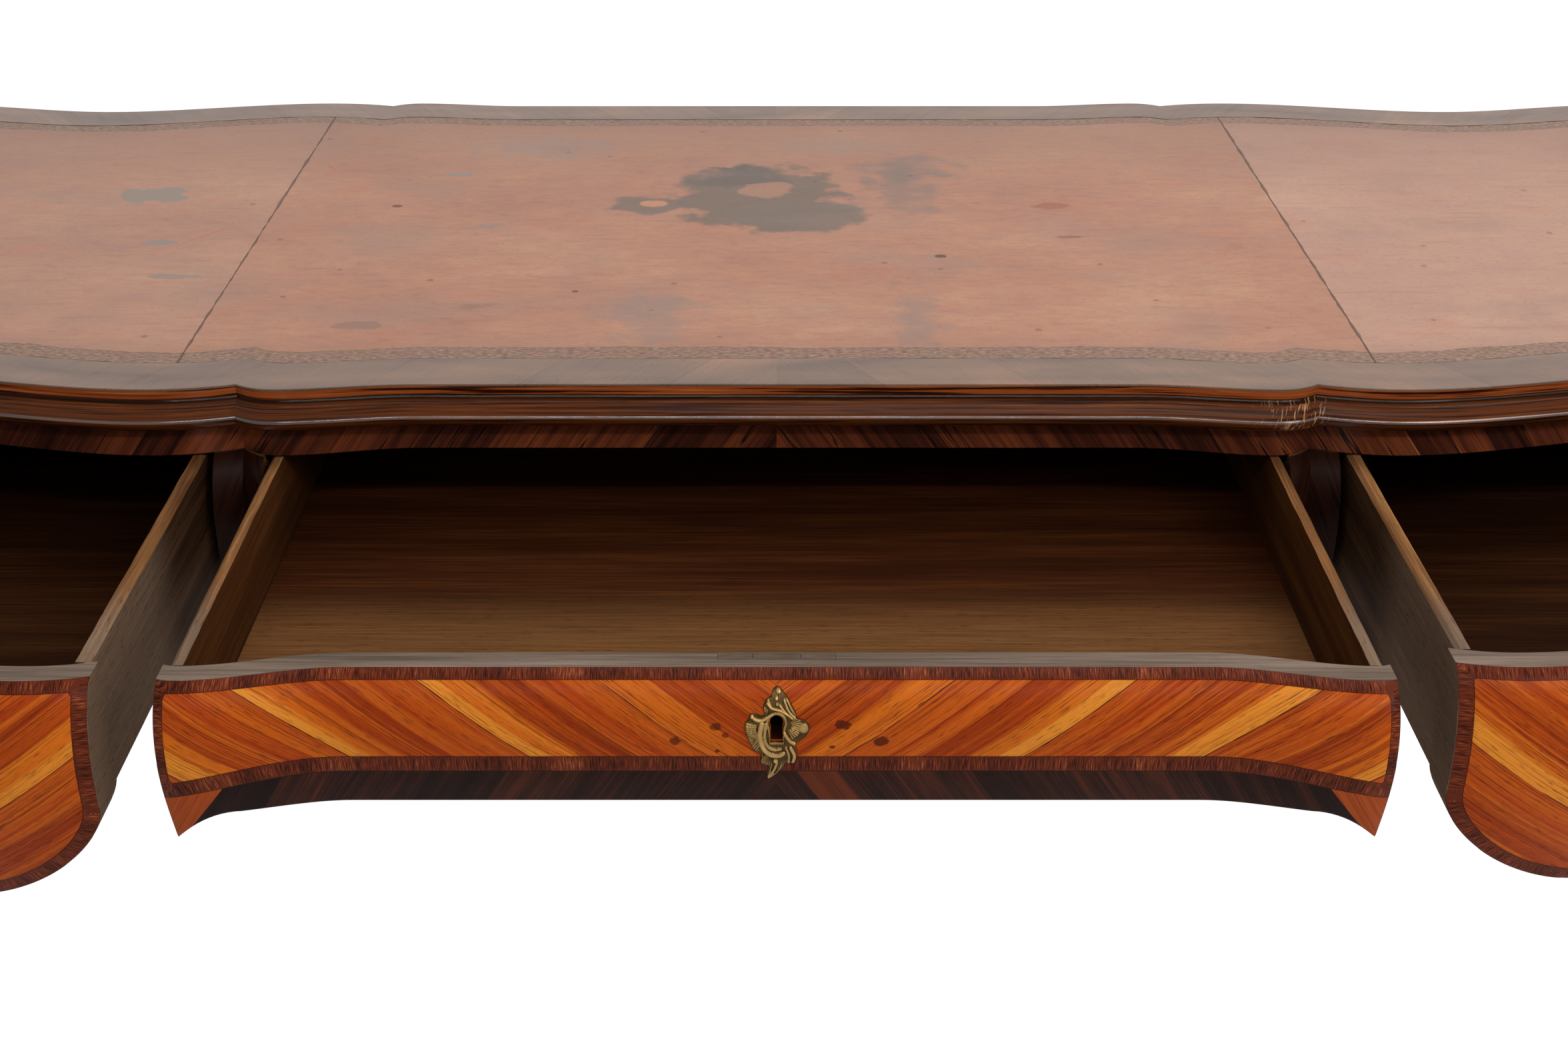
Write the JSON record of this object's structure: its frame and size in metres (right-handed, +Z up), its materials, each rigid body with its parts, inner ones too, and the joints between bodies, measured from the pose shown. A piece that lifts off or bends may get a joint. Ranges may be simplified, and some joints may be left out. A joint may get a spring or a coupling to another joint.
{
  "type": "bureau plat",
  "caption": "Serpentine writing table with a leather-lined top, moulded edge, bombe frieze drawers that slide out, let-in locks and cabriole legs in brass shoes.",
  "frame": {"origin": "floor level under the middle of the table's outline, with the drawers drawn out as in the picture", "axes": "+X to the sitter's right along the length, +Y from the sitter to the back, +Z up"},
  "size_m": [1.777, 1.1318, 0.78],
  "materials": {
    "leather": "worn hide, glued down",
    "band_veneer": "bleached kingwood veneer, waxed",
    "moulding_wood": "polished solid wood",
    "kingwood": "polished kingwood veneer",
    "tulipwood": "polished tulipwood veneer with crossbanding",
    "oak": "old unpolished oak",
    "brass": "cast and chased, dull",
    "iron": "filed, dark"
  },
  "bodies": {
    "case": {"top_panel": "oak", "leather_left": "leather", "leather_centre": "leather", "leather_right": "leather", "top_band_front": "band_veneer", "top_band_back": "band_veneer", "top_band_left": "band_veneer", "top_band_right": "band_veneer", "edge_moulding_front": "moulding_wood", "edge_moulding_back": "moulding_wood", "edge_moulding_left": "moulding_wood", "edge_moulding_right": "moulding_wood", "front_rail": "kingwood", "back_rail": "oak", "divider_left": "kingwood", "divider_right": "kingwood", "partition_left": "oak", "partition_right": "oak", "bearer_inner_left": "oak", "bearer_inner_right": "oak", "bearer_outer_left": "oak", "bearer_outer_right": "oak", "side_frieze_left": "tulipwood", "side_frieze_right": "tulipwood", "back_apron_left": "tulipwood", "back_apron_centre": "tulipwood", "back_apron_right": "tulipwood", "leg_front_left": "kingwood", "leg_front_right": "kingwood", "leg_back_left": "kingwood", "leg_back_right": "kingwood", "sabot_front_left": "brass", "sabot_front_right": "brass", "sabot_back_left": "brass", "sabot_back_right": "brass"},
    "centre_drawer": {"centre_drawer_front": "tulipwood", "centre_drawer_side_left": "oak", "centre_drawer_side_right": "oak", "centre_drawer_back": "oak", "centre_drawer_bottom": "oak", "lock_case_centre": "iron", "escutcheon_centre": "brass"},
    "left_drawer": {"left_drawer_front": "tulipwood", "left_drawer_side_left": "oak", "left_drawer_side_right": "oak", "left_drawer_back": "oak", "left_drawer_bottom": "oak", "lock_case_left": "iron", "escutcheon_left": "brass"},
    "right_drawer": {"right_drawer_front": "tulipwood", "right_drawer_side_left": "oak", "right_drawer_side_right": "oak", "right_drawer_back": "oak", "right_drawer_bottom": "oak", "lock_case_right": "iron", "escutcheon_right": "brass"},
    "centre_bolt": {"lock_bolt_centre": "iron"},
    "left_bolt": {"lock_bolt_left": "iron"},
    "right_bolt": {"lock_bolt_right": "iron"}
  },
  "joints": [
    {"name": "centre_drawer_slide", "type": "slide", "parent": "case", "child": "centre_drawer", "axis": [0, -1, 0], "range_m": [-0.3217, 0.128]},
    {"name": "left_drawer_slide", "type": "slide", "parent": "case", "child": "left_drawer", "axis": [0, -1, 0], "range_m": [-0.325, 0.125]},
    {"name": "right_drawer_slide", "type": "slide", "parent": "case", "child": "right_drawer", "axis": [0, -1, 0], "range_m": [-0.308, 0.142]},
    {"name": "centre_bolt_slide", "type": "slide", "parent": "centre_drawer", "child": "centre_bolt", "axis": [0, 0, 1], "range_m": [0, 0.008]},
    {"name": "left_bolt_slide", "type": "slide", "parent": "left_drawer", "child": "left_bolt", "axis": [0, 0, 1], "range_m": [0, 0.008]},
    {"name": "right_bolt_slide", "type": "slide", "parent": "right_drawer", "child": "right_bolt", "axis": [0, 0, 1], "range_m": [0, 0.008]}
  ]
}
